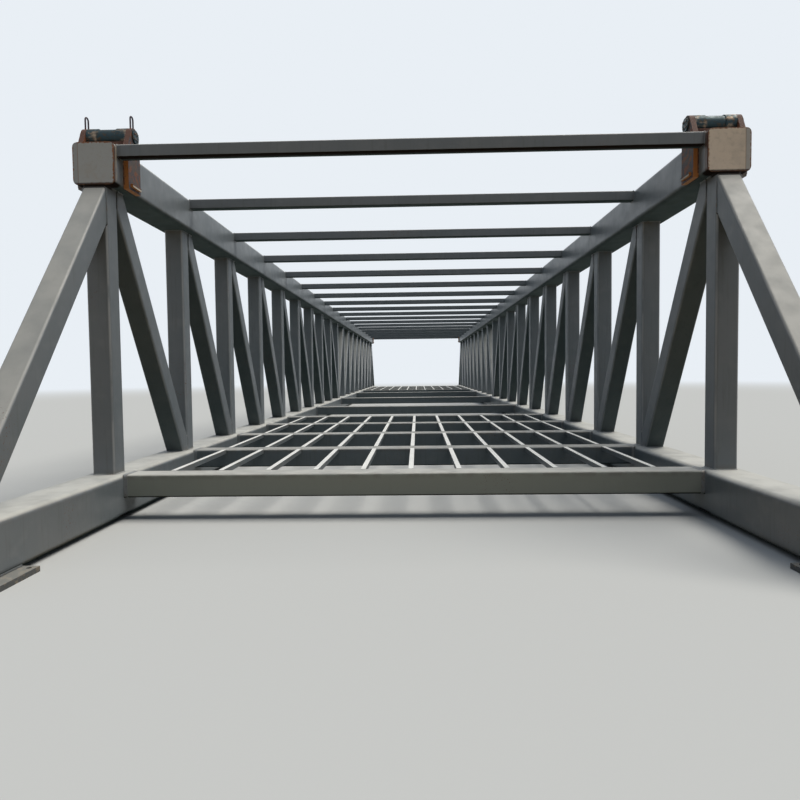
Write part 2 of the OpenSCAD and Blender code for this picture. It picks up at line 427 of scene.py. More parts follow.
@dataclass(frozen=True)
class SteelPaint(Finish):
    """Alkyd paint sprayed on hollow sections: satin mid grey, pale with dust, chalk and painted top light where it
    faces up.
    """

    name: str = "sprayed_grey_alkyd"
    roughness: float = 0.40
    ior: float = 1.5
    shadowed_and_sooty: bool = True
    base: str = "#6F757A"
    overspray: str = "#666E74"
    thin: str = "#7D8285"
    runs: str = "#575B5C"
    # paler corners: rubbed paint and painted highlight
    rubbed_and_highlight: str = "#94979A"
    # colour of the painted shade on undersides
    painted_underside_shade: str = "#293B39"
    # paler colour standing in as painted light on the outermost floor beams' faces
    beam_face_light_colour: str = "#A5AAA1"
    primer: str = "#A89C88"
    scorched: str = "#4A2C20"
    # pale colour of dust on upward faces, also a painted top light
    dust_and_top_light: str = "#C3C3BE"
    rust: str = "#6B4230"
    heat: str = "#665F57"
    least_dust: float = 0.65
    wear: float = 0.4
    dusty_roughness: float = 0.30
    damp_roughness: float = 0.55

    def colour(self, surface: Surface) -> Socket:
        """Lays grey coats: dust and painted top light on tops, painted shade beneath, runs on sides, brown near
        welds, a few rust spots.

        Args:
            surface: the material's nodes.

        Returns:
            The colour.
        """
        # passes of the spray gun, about 700 mm, and thin places of 180 mm
        sprayed = surface.patches(700, 0.35, 0.7, 0.8, 3)
        thin = surface.patches(180, 0.5, 0.8, 0.5, 3)
        # dirt runs down the sides, 30 mm wide and fourteen times as long
        runs = surface.patches(30, 0.52, 0.8, 0.4, 3, longer=(1, 1, 14))
        # undersides are darkened with painted shade
        painted_underside_shade = surface.add("MapRange", (surface.facing["Z"], -0.25, -0.75, 0.0, 0.85), **SOFT)
        primer, scorched = self.chord_ends(surface)
        # rust spots of 14 mm in clusters a metre apart
        cluster, spots = surface.patches(1000, 0.58, 0.68, detail=2), surface.patches(14, 0.62, 0.68)
        rust = surface.add("Math", (cluster, spots), operation="MULTIPLY")
        return surface.coats(
            self.base, (sprayed, self.overspray), (thin, self.thin), (runs, self.runs),
            (self.corner_wear_and_highlight(surface), self.rubbed_and_highlight), (self.beam_face_painted_light(surface), self.beam_face_light_colour),
            (self.burns(surface), self.heat), (primer, self.primer), (painted_underside_shade, self.painted_underside_shade),
            (self.dust_and_top_light_mask(surface), self.dust_and_top_light), (scorched, self.scorched), (surface.painted_shadow_and_soot(), SHADOW_AND_SOOT), (rust, self.rust),
        )

    @staticmethod
    def corner_wear_and_highlight(surface: Surface) -> Socket:
        """Marks the rolled corners made paler in stretches of 400 mm, partly rubbed paint and partly painted
        highlight.

        Args:
            surface: the material's nodes.

        Returns:
            The mask.
        """
        # only on a corner does a normal lean partly in X
        off_level = surface.add("MapRange", (surface.lean["X"], 0.12, 0.4), **SOFT)
        off_square = surface.add("MapRange", (surface.lean["X"], 0.98, 0.8), **SOFT)
        rounded = surface.add("Math", (off_level, off_square), operation="MULTIPLY")
        return surface.add("Math", (rounded, surface.patches(400, 0.25, 0.6, 0.85)), operation="MULTIPLY")

    @staticmethod
    def beam_face_painted_light(surface: Surface) -> Socket:
        """Marks painted light on the outermost floor beams, on their faces square to the bridge.

        Args:
            surface: the material's nodes.

        Returns:
            The mask.
        """
        ends = surface.add("MapRange", (surface.reach["Y"], SIZES.first_beam - 0.4, SIZES.first_beam), **SOFT)
        low = surface.add("MapRange", (surface.point["Z"], SIZES.z_floor + 0.02, SIZES.z_floor, 0.0, 0.65))
        square = surface.add("MapRange", (surface.lean["Y"], 0.5, 0.9), **SOFT)
        low_ends = surface.add("Math", (ends, low), operation="MULTIPLY")
        return surface.add("Math", (low_ends, square), operation="MULTIPLY")

    @staticmethod
    def chord_ends(surface: Surface) -> tuple[Socket, Socket]:
        """Marks what the welding of the end plates did to the last 50 mm of the top chords.

        Args:
            surface: the material's nodes.

        Returns:
            The mask of bare primer in patches of 120 mm, and that of scorched paint, 15 mm wide on the left and 45 mm
            on the right.
        """
        add, s = surface.add, SIZES
        high = add("MapRange", (surface.point["Z"], s.z_under - 0.001, s.z_under))
        outer = add("MapRange", (surface.reach["X"], s.inner_x - 0.002, s.inner_x))
        on_chord = add("Math", (high, outer), operation="MULTIPLY")
        rim = surface.gap("Y", s.half_top)
        band = add("MapRange", (rim, 0.055, 0.045))
        bare = add("Math", (band, surface.patches(120, 0.35, 0.6, 0.75)), operation="MULTIPLY")
        more = add("MapRange", (surface.point["X"], -0.1, 0.1, 0.0, 0.03))
        nearer = add("Math", (rim, more), operation="SUBTRACT")
        scorched = add("MapRange", (nearer, 0.022, 0.010, 0.0, 0.85))
        return tuple(add("Math", (mask, on_chord), operation="MULTIPLY") for mask in (bare, scorched))

    @staticmethod
    def burns(surface: Surface) -> Socket:
        """Marks the paint burnt and touched up beside the welds, in patches within 70 mm of the chord faces.

        Args:
            surface: the material's nodes.

        Returns:
            The mask.
        """
        foot, head = (
            surface.add("MapRange", (surface.gap("Z", level), 0.07, 0.0, 0.0, 0.5), **SOFT)
            for level in (SIZES.z_floor, SIZES.z_under)
        )
        near_weld = surface.add("Math", (foot, head), operation="MAXIMUM")
        return surface.add("Math", (near_weld, surface.patches(120, 0.35, 0.6)), operation="MULTIPLY")

    def dust_and_top_light_mask(self, surface: Surface) -> Socket:
        """Marks the dust, with painted top light, on all that faces up, washed off in places of about 300 mm.

        Args:
            surface: the material's nodes.

        Returns:
            The mask, weaker where wear takes the dust off the cross tubes that lie inside the first ones.
        """
        add, s = surface.add, SIZES
        up = add("MapRange", (surface.facing["Z"], 0.3, 0.8), **SOFT)
        washed = surface.patches(300, 0.75, 0.35, 1.0, 5)
        lying = add("MapRange", (washed, 0.0, 1.0, self.least_dust, 1.0))
        between = add("MapRange", (surface.reach["X"], s.inner_x + 0.002, s.inner_x))
        past = s.first_beam - 0.1
        inside = add("MapRange", (surface.reach["Y"], past, past - 0.3, 0.0, self.wear), **SOFT)
        worn = add("Math", (between, inside), operation="MULTIPLY")
        kept = add("Math", (1.0, worn), operation="SUBTRACT")
        settled = add("Math", (up, lying), operation="MULTIPLY")
        return add("Math", (settled, kept), operation="MULTIPLY")

    def dullness(self, surface: Surface) -> Socket:
        """Keeps clean paint satin and makes it dull where dust or damp lies.

        Args:
            surface: the material's nodes.

        Returns:
            The roughness.
        """
        dusty = surface.add("MapRange", (surface.facing["Z"], 0.35, 0.85, 0.0, self.dusty_roughness), **SOFT)
        damp = surface.add("MapRange", (surface.facing["Z"], -0.2, -0.55, 0.0, self.damp_roughness), **SOFT)
        covered = surface.add("Math", (dusty, damp), operation="ADD")
        mottled = surface.patches(150, 0.2, 0.8, 0.14, 3)
        uneven = surface.add("Math", (mottled, covered), operation="ADD")
        return surface.add("Math", (uneven, self.roughness - 0.07), operation="ADD")

    def bumps(self, surface: Surface) -> Socket:
        """Orange peel of the spray, drawn at 8 mm because 1 mm is too fine to show."""
        return surface.relief(8, 1, 0.1)


@dataclass(frozen=True)
class StringerPaint(SteelPaint):
    """The same alkyd on the small floor stringers: almost white on top, chalked by the weather and with painted sky
    reflection and top light.
    """

    name: str = "chalked_grey_alkyd"
    # almost white: chalk with painted sky reflection and top light on the tops
    dust_and_top_light: str = "#F2F3F1"
    least_dust: float = 0.85
    wear: float = 0.0


@dataclass(frozen=True)
class WeldPaint(Finish):
    """Fillet weld under the same alkyd: shiny ripples, brown where the coat is thin."""

    name: str = "painted_fillet_weld"
    roughness: float = 0.4
    ior: float = 1.5
    shadowed_and_sooty: bool = True
    coat: str = "#71767A"
    brown: str = "#6A5A4E"
    # pale colour of dust on the top of the welds, also a painted top light
    dust_and_top_light: str = "#BDBDB8"

    def colour(self, surface: Surface) -> Socket:
        """Lays grey with thin brown patches of about 60 mm, dust with painted top light on top and painted shadow
        with soot at the top chord ends.

        Args:
            surface: the material's nodes.

        Returns:
            The colour.
        """
        brown = surface.patches(60, 0.5, 0.72, 0.7)
        dust_and_top_light = surface.add("MapRange", (surface.facing["Z"], 0.3, 0.9, 0.0, 0.7), **SOFT)
        return surface.coats(self.coat, (brown, self.brown), (dust_and_top_light, self.dust_and_top_light), (surface.painted_shadow_and_soot(), SHADOW_AND_SOOT))

    def bumps(self, surface: Surface) -> Socket:
        """Ripples of the bead, drawn at 9 mm because 2 mm is too fine to show."""
        return surface.relief(9, 3, 0.6, 1)


@dataclass(frozen=True)
class GroundWeld(Finish):
    """Wide weld ground flat at the beam ends: paler, with a dull metal shine through thin primer."""

    name: str = "ground_weld"
    roughness: float = 0.45
    metallic: float = 0.3
    coat: str = "#8F9294"
    brown: str = "#7C746B"

    def colour(self, surface: Surface) -> Socket:
        """Pale grey with brown patches of about 50 mm."""
        return surface.coats(self.coat, (surface.patches(50, 0.45, 0.7, 0.8), self.brown))

    def bumps(self, surface: Surface) -> Socket:
        """Scores of the grinding disc, drawn at 12 mm because 1 mm is too fine to show."""
        return surface.relief(12, 1, 0.3, 3)


@dataclass(frozen=True)
class CapPrimer(Finish):
    """Shop primer brushed on flame cut plates: dull beige, with rust creeping in from the welded edges."""

    name: str = "brushed_shop_primer"
    roughness: float = 0.7
    ior: float = 1.5
    left: str = "#BFC8D0"
    right: str = "#F4EADF"
    mill: str = "#B5B1AA"
    stain: str = "#948F85"
    band: str = "#ADB5BD"
    rust: str = "#8A5A3A"
    band_reach: float = 0.145

    def colour(self, surface: Surface) -> Socket:
        """Lays primer with mill scale showing, a greyer band by the outer edge, rust round the rim and painted shadow
        along the top plates' foot.

        Args:
            surface: the material's nodes.

        Returns:
            The colour.
        """
        add, s = surface.add, SIZES
        across = surface.gap("X", s.chord_x)
        low, high = surface.gap("Z", s.z_floor - s.chord / 2), surface.gap("Z", s.z_under + s.chord / 2)
        level = add("Math", (low, high), operation="MINIMUM")
        rim = add("Math", (across, level), operation="MAXIMUM")
        # rust wanders up to 12 mm in from the rim, in flecks of 25 mm
        wander = add("Math", (rim, surface.patches(25, 0.3, 0.7, 0.012)), operation="ADD")
        rust = add("MapRange", (wander, s.chord / 2 - 0.012, s.chord / 2), **SOFT)
        right = add("MapRange", (surface.point["X"], -0.1, 0.1))
        # the outer 55 mm of each plate have the grey paint of the chord, up to a thin rusty lap line
        lap = s.chord_x + self.band_reach
        band = add("MapRange", (surface.reach["X"], lap - 0.002, lap + 0.002, 0.0, 0.75))
        seam = add("MapRange", (surface.gap("X", lap), 0.004, 0.001, 0.0, 0.7))
        # painted shadow, darkened like soot, along the bottom edge of the top chords' plates
        shadowed_and_sooty = add("MapRange", (surface.gap("Z", s.z_under), 0.024, 0.010, 0.0, 0.9), **SOFT)
        return surface.coats(
            self.left, (right, self.right), (surface.patches(160, 0.45, 0.75, 0.35, 5), self.mill),
            (surface.patches(40, 0.5, 0.8, 0.2), self.stain), (band, self.band), (seam, self.rust), (rust, self.rust),
            (shadowed_and_sooty, SHADOW_AND_SOOT),
        )

    def bumps(self, surface: Surface) -> Socket:
        """Brush marks and mill scale of about 12 mm."""
        return surface.relief(12, 2, 0.25, 4)


@dataclass(frozen=True)
class BracketRust(Finish):
    """Old dark paint on flame cut plate: worn to orange rust on the edges and towards the pin."""

    name: str = "worn_paint_on_rusty_plate"
    roughness: float = 0.72
    ior: float = 1.5
    paint: str = "#3F3B40"
    faded: str = "#4E4741"
    brown: str = "#7A4426"
    orange: str = "#C07F48"
    maroon: str = "#3D282B"
    navy: str = "#363344"
    bloom: str = "#94633F"
    # pale colour of scraped bare metal, also a painted highlight on the ledges
    bare: str = "#D8CFC0"
    overspray: str = "#666C70"
    ledge_face: float = 0.2735
    ledge_line: float = 0.052

    def colour(self, surface: Surface) -> Socket:
        """Lays dark paint on the outer faces, and orange rust on the cut edges and the faces towards the pin.

        Args:
            surface: the material's nodes.

        Returns:
            The colour.
        """
        add, s = surface.add, SIZES
        # a broad face looks towards the pin where its normal points back at the middle of the chord
        side = add("Math", (surface.point["X"],), operation="SIGN")
        outward = add("Math", (surface.facing["X"], side), operation="MULTIPLY")
        offset = add("Math", (surface.reach["X"], s.chord_x), operation="SUBTRACT")
        turned = add("Math", (offset, outward), operation="MULTIPLY")
        inside = add("MapRange", (turned, -0.01, -0.1, 0.0, 0.8), **SOFT)
        # flame cut edges are whatever faces neither left nor right; above the chord they keep a maroon coat
        edge = add("MapRange", (surface.lean["X"], 0.8, 0.3), **SOFT)
        cut = add("Math", (edge, surface.patches(30, 0.15, 0.4)), operation="MULTIPLY")
        high = add("MapRange", (surface.point["Z"], s.z_top - 0.02, s.z_top + 0.03, 0.0, 0.9), **SOFT)
        maroon = add("Math", (cut, high), operation="MULTIPLY")
        # the carrying loops, all that is higher than the cheeks, are dark blue
        eye_top = s.z_top + s.pin_height + s.eye_radius
        loop = add("MapRange", (surface.point["Z"], eye_top - 0.005, eye_top + 0.005, 0.0, 0.9))
        # beside the chord the outer cheeks were sprayed over with its grey
        beside = add("MapRange", (surface.point["Z"], s.z_top + 0.01, s.z_top - 0.01, 0.0, 0.9), **SOFT)
        sprayed = add("Math", (add("MapRange", (offset, 0.0, 0.01)), beside), operation="MULTIPLY")
        # the lower half of the ledges' outer faces is pale: metal scraped bare by use, and a painted highlight
        tip = add("MapRange", (surface.gap("X", s.chord_x), self.ledge_face, self.ledge_face + 0.001))
        line = s.z_under + self.ledge_line
        scraped_and_highlight = add("Math", (
            tip, add("MapRange", (surface.point["Z"], line + 0.003, line - 0.001, 0.0, 0.85)),
        ), operation="MULTIPLY")
        return surface.coats(
            self.paint, (surface.patches(110, 0.4, 0.65, 0.8, 5), self.faded),
            (surface.patches(60, 0.5, 0.62, 0.75, 6), self.brown), (inside, self.brown), (cut, self.orange),
            (maroon, self.maroon), (loop, self.navy), (surface.patches(12, 0.5, 0.75, 0.3), self.bloom),
            (sprayed, self.overspray), (scraped_and_highlight, self.bare),
        )

    def bumps(self, surface: Surface) -> Socket:
        """Rust pits of about 6 mm."""
        return surface.relief(6, 2, 0.5, 5)


@dataclass(frozen=True)
class PinSteel(Finish):
    """Turned alloy steel under dark grease: near black with a teal cast, tan near the cheeks: dry metal with a
    painted reflection.
    """

    name: str = "greased_turned_steel"
    roughness: float = 0.48
    metallic: float = 0.5
    grease: str = "#24383E"
    brown: str = "#57432F"
    # tan of dry metal, also a painted reflection on the roller
    dry_tan_and_reflection: str = "#A8927C"

    def colour(self, surface: Surface) -> Socket:
        """Lays dark grease with dry brown patches, and tan ones on the roller's rims that are dry metal and painted
        reflection.

        Args:
            surface: the material's nodes.

        Returns:
            The colour.
        """
        # brown patches of 35 mm everywhere, tan ones twice as long on the roller's rims, which end at 198 mm
        brown = surface.patches(35, 0.52, 0.68, 0.8, 5)
        across = surface.gap("X", SIZES.chord_x)
        rims = surface.add("Math", (
            surface.add("MapRange", (across, 0.07, 0.11), **SOFT), surface.add("MapRange", (across, 0.2, 0.199)),
        ), operation="MULTIPLY")
        worn = surface.patches(40, 0.48, 0.66, 0.75, 6, longer=(2, 1, 1))
        dry_tan_and_reflection = surface.add("Math", (rims, worn), operation="MULTIPLY")
        return surface.coats(self.grease, (brown, self.brown), (dry_tan_and_reflection, self.dry_tan_and_reflection))

    def dullness(self, surface: Surface) -> Socket:
        """Wet grease among dry metal, in the same patches."""
        return surface.add("Math", (surface.patches(35, 0.3, 0.7, 0.3, 5), self.roughness - 0.1), operation="ADD")


@dataclass(frozen=True)
class BearingPaint(Finish):
    """Zinc rich paint on thick flame cut plate: flat dark grey, with earth splashed on it."""

    name: str = "zinc_rich_paint"
    roughness: float = 0.65
    ior: float = 1.5

    def colour(self, surface: Surface) -> Socket:
        """Dark grey with splashes of about 50 mm, and dust with painted top light on top."""
        # dust on top, also a painted top light
        dust_and_top_light = surface.add("MapRange", (surface.facing["Z"], 0.5, 0.95, 0.0, 0.45), **SOFT)
        return surface.coats("#4F5356", (surface.patches(50, 0.5, 0.62, 0.6, 6), "#8C8273"), (dust_and_top_light, "#A5A39C"))

    def bumps(self, surface: Surface) -> Socket:
        """Rolled plate, uneven at 8 mm."""
        return surface.relief(8, 1.5, 0.3, 3)


@dataclass(frozen=True)
class BoltZinc(Finish):
    """Hot dip galvanised bolts: dull zinc with a spangle of about 8 mm."""

    name: str = "galvanised_bolt_steel"
    roughness: float = 0.5
    metallic: float = 0.9

    def colour(self, surface: Surface) -> Socket:
        """Zinc with darker spangles and rust in patches of 20 mm."""
        spangle, rust = surface.patches(8, 0.35, 0.65, 1, 3), surface.patches(20, 0.5, 0.65)
        return surface.coats("#7E8184", (spangle, "#65635F"), (rust, "#6A4632"))


@dataclass(frozen=True)
class RustyWeld(Finish):
    """Bare fillet weld: brown rust over ripples."""

    name: str = "rusty_fillet_weld"
    roughness: float = 0.8
    ior: float = 1.5

    def colour(self, surface: Surface) -> Socket:
        """Brown with pale and dark patches of about 25 mm."""
        return surface.coats("#4A2E20", (surface.patches(25, 0.35, 0.65, 1, 5), "#7E5C44"))

    def bumps(self, surface: Surface) -> Socket:
        """Ripples of the bead, drawn at 9 mm because 3 mm is too fine to show."""
        return surface.relief(9, 4, 0.8, 1)


STEEL_PAINT = SteelPaint()
STRINGER_PAINT = StringerPaint()
WELD_PAINT = WeldPaint()
GROUND_WELD = GroundWeld()
CAP_PRIMER = CapPrimer()
BRACKET_RUST = BracketRust()
PIN_STEEL = PinSteel()
BEARING_PAINT = BearingPaint()
BOLT_ZINC = BoltZinc()
RUSTY_WELD = RustyWeld()

SLOT_FINISHES: dict[Slot, Finish] = {
    Slot.STEEL: STEEL_PAINT,
    Slot.END_PLATE: CAP_PRIMER,
    Slot.BRACKET: BRACKET_RUST,
    Slot.PIN: PIN_STEEL,
    Slot.BEARING: BEARING_PAINT,
}
NODE_FINISHES: dict[str, Finish] = {"stringers_near": STRINGER_PAINT, "stringers_far": STRINGER_PAINT}


# ---------------------------------------------------------------- pieces and meshes


@dataclass
class Piece:
    """One new mesh of the bridge with its finish and the record's slot that it belongs to."""

    name: str
    mesh: bpy.types.Mesh
    finish: Finish
    slot: Slot = Slot.STEEL

    def dress(self) -> None:
        """Puts the mesh in the scene with its material and body."""
        piece = bpy.data.objects.new(self.name, self.mesh)
        bpy.context.scene.collection.objects.link(piece)
        self.mesh.materials.clear()
        self.mesh.materials.append(self.finish.build())
        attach(piece, BODY)
        LOG.info("%s: %d faces, %s", self.name, len(self.mesh.polygons), self.finish.name)


@dataclass
class SubAssembly:
    """A group of pieces: build makes their meshes, dress gives them their finishes."""

    pieces: list[Piece] = field(default_factory=list, init=False)

    def build(self) -> None:
        """Makes the meshes."""
        raise NotImplementedError

    def dress(self) -> None:
        """Dresses every piece."""
        for piece in self.pieces:
            piece.dress()


def finished_mesh(name: str, shape: bmesh.types.BMesh) -> bpy.types.Mesh:
    """Turns a bmesh to a mesh with its faces outwards and frees it.

    Args:
        name: the mesh's name.
        shape: the bmesh.

    Returns:
        The mesh.
    """
    bmesh.ops.recalc_face_normals(shape, faces=shape.faces[:])
    mesh = bpy.data.meshes.new(name)
    shape.to_mesh(mesh)
    shape.free()
    return mesh


@dataclass
class Seam:
    """Weld beads of one thickness, laid as round cords of weld metal along straight and rounded paths."""

    name: str
    radius: float
    beads: list[tuple[list[Vector], bool]] = field(default_factory=list)

    def lay(self, path: Iterable[Sequence[float]], closed: bool = True) -> None:
        """Adds a bead along a path."""
        self.beads.append(([Vector(p) for p in path], closed))

    def mesh(self) -> bpy.types.Mesh:
        """Sweeps an eight sided section along every path.

        Returns:
            The mesh of all the beads.
        """
        curve = bpy.data.curves.new(self.name, "CURVE")
        curve.dimensions = "3D"
        curve.bevel_depth = self.radius
        curve.bevel_resolution = 1
        curve.use_fill_caps = True
        for path, closed in self.beads:
            spline = curve.splines.new("POLY")
            spline.points.add(len(path) - 1)
            for point, place in zip(spline.points, path):
                point.co = (*place, 1.0)
            spline.use_cyclic_u = closed
        rail = bpy.data.objects.new(self.name + "_rail", curve)
        bpy.context.scene.collection.objects.link(rail)
        bpy.context.view_layer.update()
        mesh = bpy.data.meshes.new_from_object(rail.evaluated_get(bpy.context.evaluated_depsgraph_get()))
        bpy.data.objects.remove(rail)
        mesh.name = self.name
        mesh.shade_smooth()
        return mesh


def rounded_outline(
    centre: Sequence[float], across: Vector, along: Vector, width: float, height: float, corner: float
) -> list[Vector]:
    """Gives the outline of a rounded rectangle in space.

    Args:
        centre: its middle.
        across: unit direction of its width.
        along: unit direction of its height.
        width: size across.
        height: size along.
        corner: corner radius.

    Returns:
        Sixteen points, four at each corner.
    """
    points = []
    for a, b, start in ((1, 1, 0), (-1, 1, 90), (-1, -1, 180), (1, -1, 270)):
        for turn in (0, 30, 60, 90):
            t = math.radians(start + turn)
            x = a * (width / 2 - corner) + corner * math.cos(t)
            y = b * (height / 2 - corner) + corner * math.sin(t)
            points.append(Vector(centre) + across * x + along * y)
    return points


# ---------------------------------------------------------------- sub-assemblies


@dataclass
class Steelwork(SubAssembly):
    """The solids of the bridge, which keep their shapes and only get their finishes."""

    frame: dict[str, Any]

    def build(self) -> None:
        """Makes nothing, because the solids carry the shapes."""

    def dress(self) -> None:
        """Gives every solid the finish of its slot, or its own where it has one."""
        slots = {part["node"]: Slot(part["material_slot"]) for part in self.frame["record"]["subparts"]}
        for name, node in self.frame["nodes"].items():
            finish = NODE_FINISHES.get(name, SLOT_FINISHES[slots[name]])
            node.data.materials.clear()
            node.data.materials.append(finish.build())
            LOG.info("%s: %s", name, finish.name)


@dataclass
class TrussWelds(SubAssembly):
    """Fillet welds where the verticals, diagonals and end posts of one truss meet its chords."""

    side: Side
    sizes: BridgeSizes = SIZES
    leg: float = 0.009

    @property
    def x(self) -> float:
        """Middle plane of the truss."""
        return self.side.value * self.sizes.chord_x

    def build(self) -> None:
        """Lays the welds of the truss."""
        for name, beads in (
            ("verticals", self.verticals()), ("diagonals", self.diagonals()), ("end_posts", self.posts())
        ):
            seam = Seam(f"welds_{name}_{self.side.name.lower()}", self.leg)
            for bead in beads:
                seam.lay(bead)
            self.pieces.append(Piece(seam.name, seam.mesh(), WELD_PAINT))

    def verticals(self) -> list[list[Vector]]:
        """Finds the rings round the feet and heads of the verticals.

        Returns:
            One closed path each.
        """
        s = self.sizes
        places = [(self.x, s.node_y(i), z) for i in range(s.last_node + 1) for z in (s.z_floor, s.z_under)]
        return [rounded_outline(place, X_AXIS, Y_AXIS, s.web, s.web, s.web_corner) for place in places]

    def joint_path(self, y_wall: float, y_run: float, z_chord: float, z_wall: float) -> list[Vector]:
        """Finds the weld where a leaning tube meets a chord and the vertical beside it.

        Args:
            y_wall: face of the vertical.
            y_run: where the tube's outer face leaves the chord.
            z_chord: face of the chord.
            z_wall: where the tube's other face leaves the vertical.

        Returns:
            The closed path.
        """
        half, r = self.sizes.web / 2, self.sizes.web_corner
        step_y = math.copysign(r, y_wall - y_run)
        step_z = math.copysign(r, z_chord - z_wall)
        one_side = [
            (half - r, y_run, z_chord), (half - ARC_MIDDLE * r, y_run + ARC_MIDDLE * step_y, z_chord),
            (half, y_run + step_y, z_chord), (half, y_wall, z_chord), (half, y_wall, z_wall + step_z),
            (half - ARC_MIDDLE * r, y_wall, z_wall + ARC_MIDDLE * step_z), (half - r, y_wall, z_wall),
        ]
        other_side = [(-x, y, z) for x, y, z in reversed(one_side)]
        return [Vector((self.x + x, y, z)) for x, y, z in one_side + other_side]

    def diagonals(self) -> list[list[Vector]]:
        """Finds the welds at both ends of every diagonal.

        Returns:
            One closed path each.
        """
        s = self.sizes
        slope = (s.clear_height + s.chord) / s.bay
        half_run = s.web / 2 / math.sin(math.atan(slope))
        start = (s.bay - s.clear_height / slope) / 2
        drop = (s.web / 2 - start + half_run) * slope
        paths = []
        for end in End:
            for i in range(s.mid_node):
                for node, z_chord, turn in ((i, s.z_under, -1), (i + 1, s.z_floor, 1)):
                    out = turn * end.value
                    y_node = -end.value * s.node_y(node)
                    y_wall, y_run = y_node + out * s.web / 2, y_node + out * (start + half_run)
                    paths.append(self.joint_path(y_wall, y_run, z_chord, z_chord + turn * drop))
        return paths

    def posts(self) -> list[list[Vector]]:
        """Finds the welds at the foot and head of the end posts.

        Returns:
            One closed path each.
        """
        s = self.sizes
        slope = s.clear_height / s.post_run
        angle = math.atan(slope)
        z_head = s.z_under - (s.post_head + s.web / 2) * slope
        paths = []
        for end in End:
            foot = (self.x, -end.value * (s.node_y(0) + s.post_head - s.post_run), s.z_floor)
            head = (self.x, -end.value * (s.node_y(0) - s.web / 2), z_head)
            paths.append(rounded_outline(foot, X_AXIS, Y_AXIS, s.web, s.web / math.sin(angle), s.web_corner))
            paths.append(rounded_outline(head, X_AXIS, Z_AXIS, s.web, s.web / math.cos(angle), s.web_corner))
        return paths


@dataclass
class CrossWelds(SubAssembly):
    """Fillet welds of the floor beams, stringers and top struts, and the ground collars of the beam ends."""

    sizes: BridgeSizes = SIZES
    leg: float = 0.008
    strut_leg: float = 0.0065
    small_leg: float = 0.005
    fill: float = 0.013
    fill_reach: float = 0.0058
    collar_width: float = 0.036
    collar_height: float = 0.003

    def build(self) -> None:
        """Lays the welds of the floor and of the struts."""
        s = self.sizes
        beams = [(s.node_y(i), s.z_floor) for i in s.beam_nodes()]
        struts = [(s.node_y(i), s.z_top - s.strut_drop) for i in range(s.last_node + 1)]
        self.tube_ends("floor_beams", beams, (s.beam_width, s.beam_depth, s.beam_corner), self.leg)
        self.tube_ends("top_struts", struts, (s.strut, s.strut, s.strut_corner), self.strut_leg)
        self.collars(beams)
        for end in End:
            self.stringers(end)

    def tube_ends(
        self, name: str, tubes: list[tuple[float, float]], section: tuple[float, float, float], leg: float
    ) -> None:
        """Lays a ring at both ends of cross tubes, and a fat bead in the groove above the chord's round corner.

        Args:
            name: what the tubes are.
            tubes: place along the bridge and height of the top of each tube.
            section: width, depth and corner radius of the tubes.
            leg: radius of the ring's bead.
        """
        s = self.sizes
        width, depth, corner = section
        ring, groove = Seam(f"welds_{name}", leg), Seam(f"groove_welds_{name}", self.fill)
        for y, top in tubes:
            for side in Side:
                middle = (side.value * s.inner_x, y, top - depth / 2)
                ring.lay(rounded_outline(middle, Y_AXIS, Z_AXIS, width, depth, corner))
                x, half = side.value * (s.inner_x + self.fill_reach), width / 2 - corner
                groove.lay([(x, y + k * half, top - self.fill * 0.9) for k in (-1, 1)], closed=False)
        self.pieces.append(Piece(ring.name, ring.mesh(), WELD_PAINT))
        self.pieces.append(Piece(groove.name, groove.mesh(), GROUND_WELD))

    def collars(self, beams: list[tuple[float, float]]) -> None:
        """Wraps the ground end of each floor beam in a low flat collar.

        Args:
            beams: place along the bridge and height of the top of each beam.
        """
        s = self.sizes
        shape = bmesh.new()
        for y, top in beams:
            for side in Side:
                x = side.value * (s.inner_x - self.collar_width / 2) - self.collar_width / 2
                self.collar(shape, Vector((x, y, top - s.beam_depth / 2)))
        self.pieces.append(Piece("floor_beam_collars", finished_mesh("floor_beam_collars", shape), GROUND_WELD))

    def collar(self, shape: bmesh.types.BMesh, middle: Vector) -> None:
        """Adds one collar with a rounded outline, open where the beam runs through.

        Args:
            shape: the bmesh that gets it.
            middle: the middle of its foot, from where it runs towards plus X.
        """
        s = self.sizes
        edges = []
        for grow in (0.0, self.collar_height):
            size = (s.beam_width + 2 * grow, s.beam_depth + 2 * grow, s.beam_corner + grow)
            ring = [shape.verts.new(p) for p in rounded_outline(middle, Y_AXIS, Z_AXIS, *size)]
            edges += [shape.edges.new((ring[k - 1], ring[k])) for k in range(len(ring))]
        foot = bmesh.ops.bridge_loops(shape, edges=edges)["faces"]
        raised = bmesh.ops.extrude_face_region(shape, geom=foot)["geom"]
        lifted = [part for part in raised if isinstance(part, bmesh.types.BMVert)]
        bmesh.ops.translate(shape, verts=lifted, vec=X_AXIS * self.collar_width)

    def stringers(self, end: End) -> None:
        """Welds down the sides and along the undersides of the stringer ends.

        Args:
            end: the end of the bridge.
        """
        s = self.sizes
        outer = (s.stringer_count - 1) // 2
        half = s.stringer_width / 2
        low, high = s.z_floor - s.stringer_depth, s.z_floor - s.beam_corner / 2
        first = 0 if end is End.NEAR else s.last_node - s.stringer_bays
        seam = Seam(f"welds_stringers_{end.name.lower()}", self.small_leg)
        for i in range(first, first + s.stringer_bays):
            for y in (s.node_y(i) + s.beam_width / 2, s.node_y(i + 1) - s.beam_width / 2):
                for x in (k * s.stringer_pitch for k in range(-outer, outer + 1)):
                    bead = [(x - half, y, high), (x - half, y, low), (x + half, y, low), (x + half, y, high)]
                    seam.lay(bead, closed=False)
        self.pieces.append(Piece(seam.name, seam.mesh(), WELD_PAINT))


